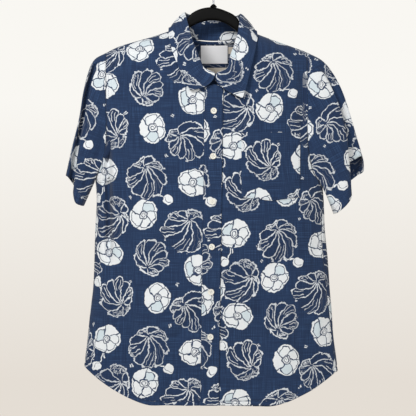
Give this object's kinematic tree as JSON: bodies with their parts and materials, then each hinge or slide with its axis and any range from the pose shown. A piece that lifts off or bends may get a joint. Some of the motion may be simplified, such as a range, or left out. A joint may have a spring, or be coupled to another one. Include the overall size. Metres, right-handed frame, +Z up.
{
  "type": "hawaiian shirt on a hanger",
  "caption": "Short-sleeved hawaiian shirt, navy with pale flowers and leaves, buttoned up, hung on a wide black hanger with a wire hook.",
  "frame": {"origin": "inside top of the hook's crook, where the hook bears on a rail", "axes": "+Z up, the shirt's front faces -Y, +X to the wearer's left, the hanger lies in the XZ plane"},
  "size_m": [0.5764, 0.1272, 0.8394],
  "materials": {
    "print_cloth": "matt slub cotton, navy, with a pale flower and leaf print",
    "button": "cream, soft gloss",
    "white_label": "smooth white woven label, bare",
    "beige_label": "beige woven label, bare",
    "hanger_plastic": "black, satin",
    "hook_wire": "bright wire"
  },
  "bodies": {
    "root": {"right_front": "print_cloth", "left_front": "print_cloth", "back": "print_cloth", "sleeve_right": "print_cloth", "sleeve_left": "print_cloth", "collar_stand": "print_cloth", "collar_fall": "print_cloth", "placket": "print_cloth", "pocket": "print_cloth", "button_1": "button", "button_2": "button", "button_3": "button", "button_4": "button", "button_5": "button", "button_6": "button", "neck_label": "white_label", "size_label": "beige_label", "care_label": "beige_label", "hanger_bar": "hanger_plastic", "hanger_cap": "hanger_plastic", "hanger_hook": "hook_wire"}
  },
  "joints": []
}
